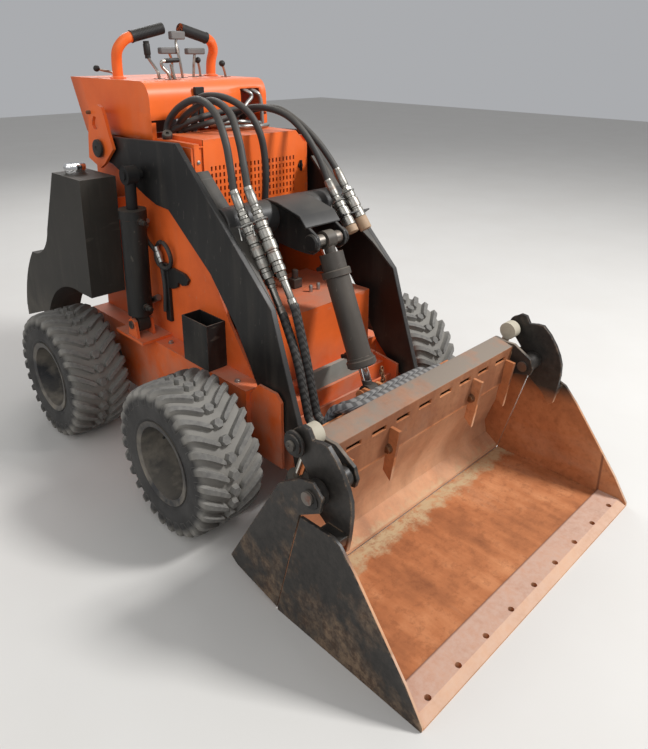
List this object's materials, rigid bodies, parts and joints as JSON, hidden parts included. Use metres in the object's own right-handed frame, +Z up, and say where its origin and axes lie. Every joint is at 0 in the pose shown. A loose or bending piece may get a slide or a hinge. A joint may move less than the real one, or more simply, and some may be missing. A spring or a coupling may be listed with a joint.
{
  "type": "stand-on mini skid steer loader",
  "caption": "Compact wheeled stand-on skid steer loader with lift arms, open control console and a hinged four-in-one bucket.",
  "frame": {"origin": "on the ground, centre of the bounding box's base, in the machine's plane of symmetry", "axes": "+Z up, -Y forward (to the bucket), -X the machine's right-hand side"},
  "size_m": [1.251, 2.366, 1.5659],
  "materials": {
    "orange_paint": "satin, dusty",
    "black_paint": "satin, dusty and scratched",
    "rim_paint": "matte",
    "worn_steel": "rusty and scuffed",
    "grey_paint": "satin",
    "pin_steel": "dull",
    "rod_chrome": "polished",
    "tyre_rubber": "dusty",
    "pad_vinyl": "soft, matte"
  },
  "bodies": {
    "chassis": {"main_frame": "orange_paint", "front_box": "orange_paint", "cross_bar": "grey_paint", "pivot_lugs": "orange_paint", "frame_pins": "pin_steel", "lift_bases": "orange_paint", "hood": "orange_paint", "console": "orange_paint", "tank_pods": "black_paint", "filler_caps": "rod_chrome", "step_platform": "black_paint", "engine_block": "black_paint", "wheel_hubs": "black_paint", "handles": "black_paint", "levers": "rod_chrome", "thigh_pad": "pad_vinyl", "side_box": "black_paint"},
    "wheel_front_right": {"tyre_front_right": "tyre_rubber", "rim_front_right": "rim_paint"},
    "wheel_front_left": {"tyre_front_left": "tyre_rubber", "rim_front_left": "rim_paint"},
    "wheel_rear_right": {"tyre_rear_right": "tyre_rubber", "rim_rear_right": "rim_paint"},
    "wheel_rear_left": {"tyre_rear_left": "tyre_rubber", "rim_rear_left": "rim_paint"},
    "arms": {"lift_arms": "black_paint", "tilt_top_pin": "pin_steel"},
    "lift_tube_right": {"lift_right_barrel": "black_paint"},
    "lift_ram_right": {"lift_right_rod": "rod_chrome"},
    "lift_tube_left": {"lift_left_barrel": "black_paint"},
    "lift_ram_left": {"lift_left_rod": "rod_chrome"},
    "tilt_tube": {"tilt_barrel": "black_paint"},
    "tilt_ram": {"tilt_rod": "rod_chrome"},
    "bucket": {"bucket_back": "worn_steel", "attach_plate": "worn_steel", "bucket_pins": "pin_steel", "hinge_pins": "pin_steel"},
    "jaw": {"bucket_jaw": "worn_steel"},
    "jaw_tube_right": {"jaw_right_barrel": "black_paint"},
    "jaw_ram_right": {"jaw_right_rod": "rod_chrome"},
    "jaw_tube_left": {"jaw_left_barrel": "black_paint"},
    "jaw_ram_left": {"jaw_left_rod": "rod_chrome"}
  },
  "joints": [
    {"name": "roll_front_right", "type": "hinge", "parent": "chassis", "child": "wheel_front_right", "pos_m": [0, -0.1786, 0.254], "axis": [1, 0, 0], "continuous": true},
    {"name": "roll_front_left", "type": "hinge", "parent": "chassis", "child": "wheel_front_left", "pos_m": [0, -0.1786, 0.254], "axis": [1, 0, 0], "continuous": true},
    {"name": "roll_rear_right", "type": "hinge", "parent": "chassis", "child": "wheel_rear_right", "pos_m": [0, 0.6386, 0.254], "axis": [1, 0, 0], "continuous": true},
    {"name": "roll_rear_left", "type": "hinge", "parent": "chassis", "child": "wheel_rear_left", "pos_m": [0, 0.6386, 0.254], "axis": [1, 0, 0], "continuous": true},
    {"name": "lift", "type": "hinge", "parent": "chassis", "child": "arms", "pos_m": [0, 0.602, 1.122], "axis": [-1, 0, 0], "range_deg": [0, 68]},
    {"name": "tilt", "type": "hinge", "parent": "arms", "child": "bucket", "pos_m": [0, -0.51, 0.135], "axis": [1, 0, 0], "range_deg": [-8, 82]},
    {"name": "jaw_open", "type": "hinge", "parent": "bucket", "child": "jaw", "pos_m": [0, -0.812, 0.452], "axis": [-1, 0, 0], "range_deg": [0, 60]},
    {"name": "lift_swing_right", "type": "hinge", "parent": "chassis", "child": "lift_tube_right", "pos_m": [0, 0.37, 0.49], "axis": [-1, 0, 0], "range_deg": [0, 7.08]},
    {"name": "lift_stroke_right", "type": "slide", "parent": "lift_tube_right", "child": "lift_ram_right", "axis": [0, -0.0318, 0.9995], "range_m": [0, 0.27633]},
    {"name": "lift_swing_left", "type": "hinge", "parent": "chassis", "child": "lift_tube_left", "pos_m": [0, 0.37, 0.49], "axis": [-1, 0, 0], "range_deg": [0, 7.08]},
    {"name": "lift_stroke_left", "type": "slide", "parent": "lift_tube_left", "child": "lift_ram_left", "axis": [0, -0.0318, 0.9995], "range_m": [0, 0.27633]},
    {"name": "tilt_swing", "type": "hinge", "parent": "arms", "child": "tilt_tube", "pos_m": [0, -0.29, 0.885], "axis": [1, 0, 0], "range_deg": [-11.13, 1.09]},
    {"name": "tilt_stroke", "type": "slide", "parent": "tilt_tube", "child": "tilt_ram", "axis": [0, -0.3907, -0.9205], "range_m": [-0.0308, 0.31567]},
    {"name": "jaw_swing_right", "type": "hinge", "parent": "bucket", "child": "jaw_tube_right", "pos_m": [0, -0.575, 0.14], "axis": [-1, 0, 0], "range_deg": [-1.01, 0]},
    {"name": "jaw_stroke_right", "type": "slide", "parent": "jaw_tube_right", "child": "jaw_ram_right", "axis": [0, -0.3451, 0.9386], "range_m": [-0.1294, 0]},
    {"name": "jaw_swing_left", "type": "hinge", "parent": "bucket", "child": "jaw_tube_left", "pos_m": [0, -0.575, 0.14], "axis": [-1, 0, 0], "range_deg": [-1.01, 0]},
    {"name": "jaw_stroke_left", "type": "slide", "parent": "jaw_tube_left", "child": "jaw_ram_left", "axis": [0, -0.3451, 0.9386], "range_m": [-0.1294, 0]}
  ],
  "couplings": [
    {"joint": "lift_swing_right", "follows": "lift", "ratio": 0.10405},
    {"joint": "lift_stroke_right", "follows": "lift", "m_per_rad": 0.23283},
    {"joint": "jaw_swing_right", "follows": "jaw_open", "ratio": -0.01676},
    {"joint": "jaw_stroke_right", "follows": "jaw_open", "m_per_rad": -0.12357},
    {"joint": "lift_swing_left", "follows": "lift", "ratio": 0.10405},
    {"joint": "lift_stroke_left", "follows": "lift", "m_per_rad": 0.23283},
    {"joint": "jaw_swing_left", "follows": "jaw_open", "ratio": -0.01676},
    {"joint": "jaw_stroke_left", "follows": "jaw_open", "m_per_rad": -0.12357},
    {"joint": "tilt_swing", "follows": "tilt", "ratio": -0.13574},
    {"joint": "tilt_stroke", "follows": "tilt", "m_per_rad": 0.22057}
  ]
}
